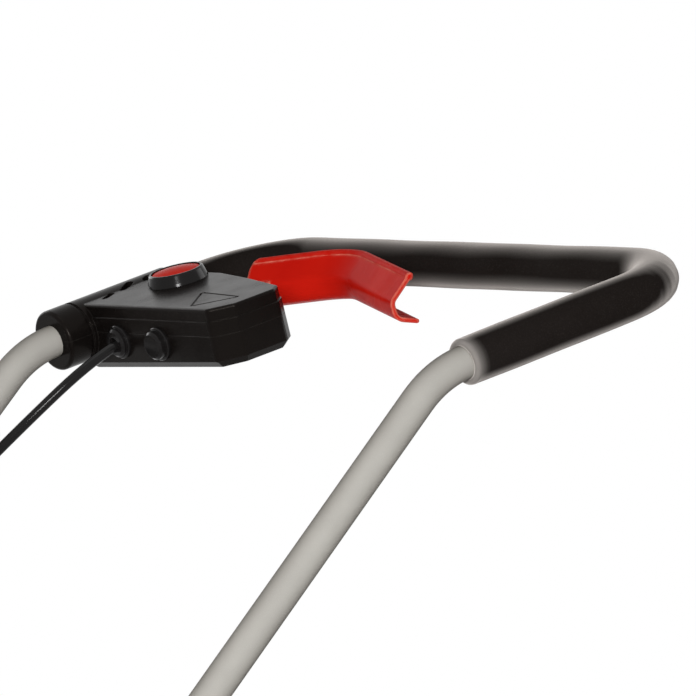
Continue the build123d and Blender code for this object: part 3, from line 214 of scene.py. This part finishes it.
# What a finish has unless its look says otherwise; pairs are the noise values between which a change runs
texture = {"middle": (0.3, 0.7), "grainDetail": 2.0, "mottle": 14, "mottleDetail": 4.0,
           "speckBand": (0.52, 0.78), "edge": 0.5 * mm, "edgeSamples": 4, "edgeBand": (0.82, 0.95),
           "wearAndHighlightShare": 0.5, "wearAndHighlightLeast": 0.2, "wearAndHighlightScale": 90, "wearAndHighlightDetail": 3.0, "wearAndHighlightBand": (0.35, 0.65),
           "smear": 45, "smearDetail": 5.0, "stretch": (1, 1, 1), "depth": 0.05, "relief": 0.5,
           "rimBlend": 0.5}


def makeFinish(name, look):
    # base colour swings between two shades with slow noise, and goes paler where the rounded normal
    # leaves the face's own: edge wear on most finishes, a painted highlight along the edges of the lever and
    # the switch housing; roughness runs between its two values with finer noise; bump is the noise at
    # the grain's scale
    finish = bpy.data.materials.new(name)
    finish.use_nodes = True
    nodes, links = finish.node_tree.nodes, finish.node_tree.links
    shader = nodes["Principled BSDF"]
    place = nodes.new("ShaderNodeTexCoord")

    def noise(scale, detail, stretch=texture["stretch"]):
        spread = nodes.new("ShaderNodeMapping")
        spread.inputs["Scale"].default_value = stretch
        links.new(place.outputs["Object"], spread.inputs["Vector"])
        field = nodes.new("ShaderNodeTexNoise")
        field.inputs["Scale"].default_value = scale
        field.inputs["Detail"].default_value = detail
        links.new(spread.outputs[0], field.inputs["Vector"])
        return field.outputs["Fac"]

    def between(value, low, high, band=texture["middle"]):
        span = nodes.new("ShaderNodeMapRange")
        span.inputs["From Min"].default_value = band[0]
        span.inputs["From Max"].default_value = band[1]
        span.inputs["To Min"].default_value = low
        span.inputs["To Max"].default_value = high
        links.new(value, span.inputs["Value"])
        return span.outputs[0]

    def blendColours(share, first, second):
        mixer = nodes.new("ShaderNodeMix")
        mixer.data_type = "RGBA"
        links.new(share, mixer.inputs["Factor"])
        for socket, value in ((mixer.inputs["A"], first), (mixer.inputs["B"], second)):
            if isinstance(value, tuple):
                socket.default_value = (*value, 1)
            else:
                links.new(value, socket)
        return mixer.outputs["Result"]

    look = {**texture, **look}
    stretch = look["stretch"]
    grain = noise(look["grain"], look["grainDetail"], stretch)
    mottle = noise(look["mottle"], look["mottleDetail"])
    colour = blendColours(between(mottle, 0, 1), look["colour"], look["shade"])
    if "speck" in look:
        colour = blendColours(between(grain, 0, 1, look["speckBand"]), colour, look["speck"])
    rounded = nodes.new("ShaderNodeBevel")
    rounded.samples = look["edgeSamples"]
    rounded.inputs["Radius"].default_value = look["edge"]
    # paler edges: edge wear on most finishes, a painted highlight on the lever and the switch housing
    if "wearAndHighlight" in look:
        surface = nodes.new("ShaderNodeNewGeometry")
        agree = nodes.new("ShaderNodeVectorMath")
        agree.operation = "DOT_PRODUCT"
        links.new(rounded.outputs[0], agree.inputs[0])
        links.new(surface.outputs["Normal"], agree.inputs[1])
        edgeWearAndHighlight = between(agree.outputs["Value"], look["wearAndHighlightShare"], 0, look["edgeBand"])
        patchyWearAndHighlight = nodes.new("ShaderNodeMath")
        patchyWearAndHighlight.operation = "MULTIPLY"
        links.new(edgeWearAndHighlight, patchyWearAndHighlight.inputs[0])
        patches = noise(look["wearAndHighlightScale"], look["wearAndHighlightDetail"])
        links.new(between(patches, look["wearAndHighlightLeast"], 1, look["wearAndHighlightBand"]), patchyWearAndHighlight.inputs[1])
        colour = blendColours(patchyWearAndHighlight.outputs[0], colour, look["wearAndHighlight"])
    # a painted glow on the foam's cut end: paler colour from a point attribute
    if "paintedEndGlow" in look:
        glowAtEnd = nodes.new("ShaderNodeAttribute")
        glowAtEnd.attribute_name = "paintedEndGlow"
        colour = blendColours(glowAtEnd.outputs["Fac"], colour, look["paintedEndGlow"])
    links.new(colour, shader.inputs["Base Color"])
    low, high = look["rough"]
    smear = noise(look["smear"], look["smearDetail"], stretch)
    links.new(between(smear, low, high), shader.inputs["Roughness"])
    raised = nodes.new("ShaderNodeBump")
    raised.inputs["Distance"].default_value = look["depth"] * mm
    raised.inputs["Strength"].default_value = look["relief"]
    links.new(grain, raised.inputs["Height"])
    links.new(rounded.outputs[0], raised.inputs["Normal"])
    links.new(raised.outputs[0], shader.inputs["Normal"])
    for socket, value in look.get("sockets", {}).items():
        shader.inputs[socket].default_value = value
    if "rim" in look:
        facing = nodes.new("ShaderNodeLayerWeight")
        facing.inputs["Blend"].default_value = look["rimBlend"]
        links.new(between(facing.outputs["Facing"], 0, 1, look["rim"]), shader.inputs["Sheen Weight"])
    finish.diffuse_color = (*look["colour"], 1)
    return finish


looks = {
    "satinTube": {"colour": (0.62, 0.606, 0.573), "shade": (0.565, 0.552, 0.522),
                  "speck": (0.66, 0.645, 0.612), "grain": 2600, "rough": (0.36, 0.48), "depth": 0.02,
                  "mottle": 30,
                  "sockets": {"Specular IOR Level": 0.02, "Coat Weight": 1, "Coat IOR": 1.03,
                              "Coat Roughness": 0.3, "Coat Tint": (0.67, 0.66, 0.645, 1)}},
    # the housing's pale edge colour is a painted highlight along its edges
    "blackShell": {"colour": (0.0048, 0.0038, 0.0034), "shade": (0.0072, 0.0058, 0.0053),
                   "wearAndHighlight": (0.06, 0.055, 0.05), "grain": 3200, "rough": (0.19, 0.28), "depth": 0.02,
                   "edge": 0.8 * mm, "wearAndHighlightShare": 0.3,
                   "sockets": {"Specular IOR Level": 0.05, "Specular Tint": (1.0, 0.9, 0.8, 1)}},
    "glossBlack": {"colour": (0.006, 0.0055, 0.0055), "shade": (0.009, 0.008, 0.008), "grain": 900,
                   "rough": (0.13, 0.18), "depth": 0.006, "sockets": {"Specular IOR Level": 0.12}},
    "gripFoam": {"colour": (0.009, 0.007, 0.006), "shade": (0.013, 0.0105, 0.0095),
                 "speck": (0.022, 0.019, 0.017), "paintedEndGlow": (0.24, 0.222, 0.208), "grain": 1500,
                 "rough": (0.75, 0.95), "depth": 0.16, "relief": 0.8, "rim": (0.43, 0.72),
                 "sockets": {"Sheen Roughness": 0.6, "Sheen Tint": (0.62, 0.575, 0.54, 1),
                             "Specular IOR Level": 0.01}},
    "redGloss": {"colour": (0.60, 0.018, 0.006), "shade": (0.52, 0.012, 0.005), "grain": 1400,
                 "rough": (0.14, 0.22), "depth": 0.012, "sockets": {"Specular IOR Level": 0.006}},
    # the lever's pale edge colour is a painted highlight: a broad pale band along its top and ends
    "leverRed": {"colour": (0.54, 0.011, 0.005), "shade": (0.46, 0.007, 0.004),
                 "wearAndHighlight": (0.95, 0.42, 0.30), "grain": 1400, "rough": (0.22, 0.32), "depth": 0.012,
                 "edge": 3.2 * mm, "wearAndHighlightShare": 0.9, "sockets": {"Specular IOR Level": 0.003}},
    "hoodRed": {"colour": (0.56, 0.016, 0.011), "shade": (0.50, 0.012, 0.009), "wearAndHighlight": (0.68, 0.09, 0.06),
                "grain": 2600, "rough": (0.22, 0.31), "depth": 0.02, "edge": 1.0 * mm, "wearAndHighlightShare": 0.4,
                "sockets": {"Specular IOR Level": 0.2}},
    "blackCover": {"colour": (0.018, 0.0172, 0.017), "shade": (0.026, 0.025, 0.0245),
                   "wearAndHighlight": (0.08, 0.078, 0.075), "grain": 2200, "rough": (0.42, 0.56), "depth": 0.05,
                   "edge": 0.8 * mm, "wearAndHighlightShare": 0.5, "sockets": {"Specular IOR Level": 0.4}},
    "platePaint": {"colour": (0.030, 0.030, 0.031), "shade": (0.042, 0.042, 0.043),
                   "wearAndHighlight": (0.30, 0.30, 0.31), "grain": 1700, "rough": (0.36, 0.5), "depth": 0.04,
                   "edge": 0.6 * mm, "wearAndHighlightShare": 0.7, "sockets": {"Metallic": 0.3}},
    "zincSteel": {"colour": (0.60, 0.60, 0.61), "shade": (0.50, 0.50, 0.52), "speck": (0.72, 0.72, 0.73),
                  "grain": 1900, "rough": (0.24, 0.38), "depth": 0.015, "sockets": {"Metallic": 1.0}},
    "groundSteel": {"colour": (0.48, 0.48, 0.49), "shade": (0.36, 0.35, 0.35), "wearAndHighlight": (0.75, 0.75, 0.76),
                    "grain": 2400, "stretch": (0.06, 1, 1), "rough": (0.22, 0.36), "depth": 0.02,
                    "edge": 0.8 * mm, "wearAndHighlightShare": 0.9, "sockets": {"Metallic": 1.0}},
    "bladePaint": {"colour": (0.024, 0.024, 0.025), "shade": (0.036, 0.036, 0.037),
                   "wearAndHighlight": (0.55, 0.55, 0.56), "grain": 1500, "rough": (0.32, 0.46), "depth": 0.03,
                   "edge": 0.9 * mm, "wearAndHighlightShare": 1.0, "sockets": {"Metallic": 0.35}},
    "tyreRubber": {"colour": (0.022, 0.021, 0.020), "shade": (0.034, 0.032, 0.030),
                   "wearAndHighlight": (0.07, 0.065, 0.06), "grain": 1300, "rough": (0.62, 0.82), "depth": 0.08,
                   "edge": 0.6 * mm, "wearAndHighlightShare": 0.5, "sockets": {"Specular IOR Level": 0.3}},
    "wheelShell": {"colour": (0.020, 0.019, 0.019), "shade": (0.028, 0.027, 0.027),
                   "wearAndHighlight": (0.09, 0.088, 0.086), "grain": 2000, "rough": (0.38, 0.52), "depth": 0.05,
                   "edge": 0.7 * mm, "wearAndHighlightShare": 0.5, "sockets": {"Specular IOR Level": 0.4}},
    "rollerShell": {"colour": (0.030, 0.029, 0.028), "shade": (0.045, 0.043, 0.041),
                    "wearAndHighlight": (0.12, 0.115, 0.11), "grain": 900, "stretch": (0.2, 1, 1),
                    "rough": (0.5, 0.68), "depth": 0.06, "edge": 0.8 * mm, "wearAndHighlightShare": 0.6,
                    "sockets": {"Specular IOR Level": 0.35}},
    "brassBronze": {"colour": (0.55, 0.38, 0.20), "shade": (0.44, 0.30, 0.16), "grain": 1500,
                    "rough": (0.28, 0.42), "depth": 0.02, "sockets": {"Metallic": 1.0}},
    "beltRubber": {"colour": (0.018, 0.018, 0.018), "shade": (0.03, 0.03, 0.03), "grain": 1600,
                   "rough": (0.6, 0.8), "depth": 0.06, "sockets": {"Specular IOR Level": 0.25}},
    "leadRubber": {"colour": (0.007, 0.0065, 0.0065), "shade": (0.010, 0.0095, 0.0095), "grain": 1200,
                   "rough": (0.06, 0.09), "depth": 0.006, "sockets": {"Specular IOR Level": 0.12}},
}
finishOf = {
    "satinTube": ["upper_tube", "lower_tubes"],
    "blackShell": ["switch_housing_top", "switch_housing_bottom", "upper_tube_caps", "lower_tube_caps"],
    "glossBlack": ["button_collar", "cable_gland", "blank_plug"],
    "gripFoam": ["foam_grip"],
    "redGloss": ["lock_button", "hub_cap_left", "hub_cap_right"],
    "leverRed": ["trigger_lever"],
    "hoodRed": ["deck_hood", "battery_lid"],
    "blackCover": ["side_cover_left", "side_cover_right", "upper_saddles", "lower_saddles",
                   "clamp_knob_left", "clamp_knob_right", "cable_clips_upper", "cable_clips_lower",
                   "deck_cable_gland", "handle_sockets", "battery_tray", "battery_pack", "controller_box",
                   "height_knob", "microswitch"],
    "platePaint": ["side_plate_left", "side_plate_right", "reel_shroud", "bedknife_bar", "tie_bars",
                   "roller_carrier"],
    "zincSteel": ["housing_screws", "lever_pin", "button_spring", "lever_spring", "clamp_bolts",
                  "deck_screws", "wheel_axles", "lid_pin", "motor_can"],
    "groundSteel": ["bedknife_blade", "motor_pulley", "reel_pulley"],
    "bladePaint": ["reel_blades", "reel_core"],
    "tyreRubber": ["tyre_left", "tyre_right"],
    "wheelShell": ["wheel_left", "wheel_right"],
    "rollerShell": ["rear_roller"],
    "brassBronze": ["reel_bearings"],
    "beltRubber": ["drive_belt"],
    "leadRubber": ["cable_upper", "cable_lower"],
}
finishes = {name: makeFinish(name, look) for name, look in looks.items()}
for name, members in finishOf.items():
    for member in members:
        mesh = cadNodes[member].data
        mesh.materials.clear()
        mesh.materials.append(finishes[name])
dressed = [member for members in finishOf.values() for member in members]
print("finishes on", len(dressed), "parts; left over:", sorted(set(cadNodes) - set(dressed)))


def addPiece(name, points, faces, finish):
    # a smooth-shaded piece from its corner points and its four-sided faces
    mesh = bpy.data.meshes.new(name)
    mesh.from_pydata(points.tolist(), [], faces.tolist())
    mesh.materials.append(finishes[finish])
    mesh.polygons.foreach_set("use_smooth", np.full(len(mesh.polygons), True))
    mesh.update()
    piece = bpy.data.objects.new(name, mesh)
    bpy.context.scene.collection.objects.link(piece)
    return piece


def bentLine(corners, radii, spacing):
    # straight runs joined by arcs that touch both, as points about one spacing apart
    runs = []
    start = corners[0]
    for before, corner, after, radius in zip(corners, corners[1:], corners[2:], radii):
        back = (before - corner) / np.linalg.norm(before - corner)
        ahead = (after - corner) / np.linalg.norm(after - corner)
        turn = math.pi - math.acos(float(back @ ahead))
        reach = radius * math.tan(turn / 2)
        middle = corner + (back + ahead) / np.linalg.norm(back + ahead) * radius / math.cos(turn / 2)
        touch = corner + back * reach
        steps = max(2, int(np.linalg.norm(touch - start) / spacing))
        share = np.linspace(0, 1, steps, endpoint=False)[:, None]
        runs.append(start + (touch - start) * share)
        swing = np.linspace(0, turn, max(4, int(radius * turn / spacing)), endpoint=False)[:, None]
        runs.append(middle + (touch - middle) * np.cos(swing) - back * radius * np.sin(swing))
        start = corner + ahead * reach
    steps = max(2, int(np.linalg.norm(corners[-1] - start) / spacing))
    runs.append(start + (corners[-1] - start) * np.linspace(0, 1, steps)[:, None])
    return np.concatenate(runs)


lipSteps = 5


def sleeveMesh(line, side, outer, inner, lip, segments, swell=None):
    # a tube with a wall: rows run along the outside, round the end, back along the bore and round the
    # start, and each row is a circle of its own radius about its point of the line; the two rims are
    # quarter circles
    tangent = np.gradient(line, axis=0)
    tangent /= np.linalg.norm(tangent, axis=1, keepdims=True)
    side = side - tangent * np.sum(side * tangent, axis=1, keepdims=True)
    side /= np.linalg.norm(side, axis=1, keepdims=True)
    up = np.cross(tangent, side)
    travelled = np.concatenate([[0], np.cumsum(np.linalg.norm(np.diff(line, axis=0), axis=1))])
    quarter = np.linspace(0, math.pi / 2, lipSteps)
    inset = lip * (1 - np.cos(quarter))
    rim = outer - lip * (1 - np.sin(quarter))
    along = np.concatenate([inset, travelled[1:-1], travelled[-1] - inset[::-1], travelled[::-1]])
    radius = np.concatenate([rim, np.full(len(line) - 2, outer), rim[::-1], np.full(len(line), inner)])
    outside = len(line) - 2 + 2 * lipSteps
    order = np.argsort(along[:outside], kind="stable")
    along[:outside], radius[:outside] = along[order], radius[order]

    def at(values):
        return np.stack([np.interp(along, travelled, values[:, k]) for k in range(3)], 1)

    centres, sides, ups = at(line), at(side), at(up)
    around = np.linspace(0, 2 * math.pi, segments, endpoint=False)
    reach = radius[:, None] * np.ones(segments)
    if swell is not None:
        reach = reach + swell(along[:, None], around[None, :]) * (radius[:, None] > (outer + inner) / 2)
    points = (centres[:, None] + reach[..., None] * (np.cos(around)[None, :, None] * sides[:, None]
                                                     + np.sin(around)[None, :, None] * ups[:, None]))
    count = len(along)
    i, j = np.meshgrid(np.arange(count), np.arange(segments), indexing="ij")
    nextRow, nextColumn = (i + 1) % count, (j + 1) % segments
    faces = np.stack([i * segments + j, i * segments + nextColumn, nextRow * segments + nextColumn,
                      nextRow * segments + j], -1)
    return points.reshape(-1, 3), faces.reshape(-1, 4)


farSide = switchSide + across * handle["gripWidth"]
tubeShape = {"wall": 1.5 * mm, "edge": 0.2 * mm, "spacing": 4 * mm, "segments": 64, "overrun": 24 * mm,
             "seamLean": 0.3}


def makeHandleTube():
    # one bent line up a leg, over the crossbar and down the other, with a wall between the outer radius
    # and the outer less the wall; it has no holes for the clamp bolts, which pass through it
    legEnd = kneeTangent + handle["upperLeg"] + tubeShape["overrun"]
    width = across * handle["gripWidth"]
    corners = [legPoint(0, legEnd), knee, switchSide]
    corners += [corner + width for corner in reversed(corners)]
    radii = [handle["kneeRadius"], handle["cornerRadius"], handle["cornerRadius"], handle["kneeRadius"]]
    line = bentLine(corners, radii, tubeShape["spacing"])
    outer = handle["tube"] / 2
    seam = across * tubeShape["seamLean"] + outOfGrip
    points, faces = sleeveMesh(line, seam, outer, outer - tubeShape["wall"], tubeShape["edge"],
                               tubeShape["segments"])
    tube = addPiece("handleTube", points, faces, "satinTube")
    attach(tube, "upper_handle")
    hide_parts("upper_tube")


foamShape = {"start": 86 * mm, "lip": 2.6 * mm, "slack": 0.1 * mm, "spacing": 2.5 * mm, "segments": 72,
             "wave": 0.18 * mm, "waveRate": 61, "waveDrift": 17, "waveLobes": 2,
             "wrinkle": 0.22 * mm, "wrinkleEvery": 7 * mm, "paintedEndGlow": 10 * mm, "fadePower": 1.5, "fill": 0.9}


def makeFoam():
    # a sleeve round the tube's two corners, its outer radius the foam's plus swell at each place
    first, last = switchSide + downGrip * foamShape["start"], farSide + downGrip * handle["foamEnd"]
    line = bentLine([first, switchSide, farSide, last], [handle["cornerRadius"]] * 2, foamShape["spacing"])
    corner = handle["cornerRadius"]
    firstBend = foamShape["start"] - corner
    bendLength = corner * math.pi / 2
    secondBend = firstBend + bendLength + handle["gripWidth"] - 2 * corner

    def swell(along, around):
        # long shallow waves everywhere, a sine along times a cosine around that drifts as it goes, and
        # short wrinkles that rise and fall as a sine through each bend, on its inside
        turned = around * foamShape["waveLobes"] + along * foamShape["waveDrift"]
        waves = np.sin(along * foamShape["waveRate"]) * np.cos(turned) * foamShape["wave"]
        inBend = sum(np.clip(np.sin((along - start) / bendLength * math.pi), 0, 1)
                     * ((along > start) & (along < start + bendLength)) for start in (firstBend, secondBend))
        inside = np.clip(-np.sin(around), 0, 1) ** 2
        wrinkles = np.sin(along / foamShape["wrinkleEvery"] * 2 * math.pi) * foamShape["wrinkle"]
        return waves + inBend * inside * (wrinkles + foamShape["wrinkle"])

    bore = handle["tube"] / 2 + foamShape["slack"]
    points, faces = sleeveMesh(line, outOfGrip, handle["foam"] / 2, bore, foamShape["lip"],
                               foamShape["segments"], swell)
    foam = addPiece("foamSleeve", points, faces, "gripFoam")
    # a painted glow at the cut end: paler colour that fades out along the sleeve
    fromEnd = (last - points) @ downGrip / foamShape["paintedEndGlow"]
    fade = np.where(points[:, 0] > 0, np.clip(1 - fromEnd, 0, 1), 0) ** foamShape["fadePower"]
    foam.data.attributes.new("paintedEndGlow", "FLOAT", "POINT").data.foreach_set("value", fade)
    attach(foam, "upper_handle")
    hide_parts("foam_grip")


makeHandleTube()
makeFoam()
print("handle tube and foam made")

# The lead's route, in millimetres: from its gland down the grip, then across, down and out of the leg,
# first counted from the knee and then from the fold, and last from the top of the deck's gland
lead = {"diameter": 7, "glandAcross": 46, "glandOut": -6, "downGrip": [153, 179],
        "fromKnee": [(12, 66, -20.5), (6, 130, -14.8), (6, 230, -14.8), (6, 330, -14.8), (30, 385, -10)],
        "fromFold": [(50, -15, 0), (50, 0, 0), (50, 20, 0), (43, 55, 0), (43, 240, 0), (43, 420, 0)],
        "fromDeck": [(-24, 44, 49), (0, 0, 43), (0, 0, -5)],
        "deckBelow": 8, "bendSpan": 45, "curveOrder": 3, "lengthSteps": 10, "roundSteps": 5}


def makeLead():
    # one smooth line through the route's points, thickened to the lead's diameter
    foldDown = handle["upperLeg"] + kneeTangent
    route = [gripPoint(lead["glandAcross"] * mm, s * mm, lead["glandOut"] * mm) for s in lead["downGrip"]]
    route += [legPoint(x * mm, t * mm, q * mm) for x, t, q in lead["fromKnee"]]
    route += [legPoint(x * mm, foldDown + t * mm, q * mm) for x, t, q in lead["fromFold"]]
    low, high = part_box("deck_cable_gland")
    deck = np.array(low + high) / 2
    deck[2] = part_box("deck_hood")[1].z - lead["deckBelow"] * mm
    route += [deck + np.array(step) * mm for step in lead["fromDeck"]]
    curve = bpy.data.curves.new("leadLine", "CURVE")
    curve.dimensions = "3D"
    spline = curve.splines.new("NURBS")
    spline.points.add(len(route) - 1)
    spline.points.foreach_set("co", np.c_[np.array(route), np.ones(len(route))].ravel())
    spline.order_u = lead["curveOrder"]
    spline.use_endpoint_u = True
    curve.resolution_u = lead["lengthSteps"]
    curve.bevel_depth = lead["diameter"] * mm / 2
    curve.bevel_resolution = lead["roundSteps"]
    curve.use_fill_caps = True
    line = bpy.data.objects.new("leadLine", curve)
    mesh = bpy.data.meshes.new_from_object(line)
    mesh.name = "switchLead"
    bpy.data.objects.remove(line)
    mesh.materials.clear()
    mesh.materials.append(finishes["leadRubber"])
    mesh.polygons.foreach_set("use_smooth", np.full(len(mesh.polygons), True))
    piece = bpy.data.objects.new("switchLead", mesh)
    bpy.context.scene.collection.objects.link(piece)
    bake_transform(piece)
    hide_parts("cable_upper", "cable_lower")


makeLead()


springShape = {"mergeWithin": 0.001 * mm}


def makeSpring():
    # the button's spring as one merged piece with its faces turned outwards, put where the imported one was
    shape = bmesh.new()
    shape.from_mesh(cadNodes["button_spring"].data)
    bmesh.ops.remove_doubles(shape, verts=shape.verts, dist=springShape["mergeWithin"])
    bmesh.ops.recalc_face_normals(shape, faces=shape.faces)
    mesh = bpy.data.meshes.new("buttonCoil")
    shape.to_mesh(mesh)
    shape.free()
    mesh.materials.append(finishes["zincSteel"])
    coil = bpy.data.objects.new("buttonCoil", mesh)
    bpy.context.scene.collection.objects.link(coil)
    coil.matrix_world = cadNodes["button_spring"].matrix_world.copy()
    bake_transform(coil)
    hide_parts("button_spring")


makeSpring()
print("lead and spring made")
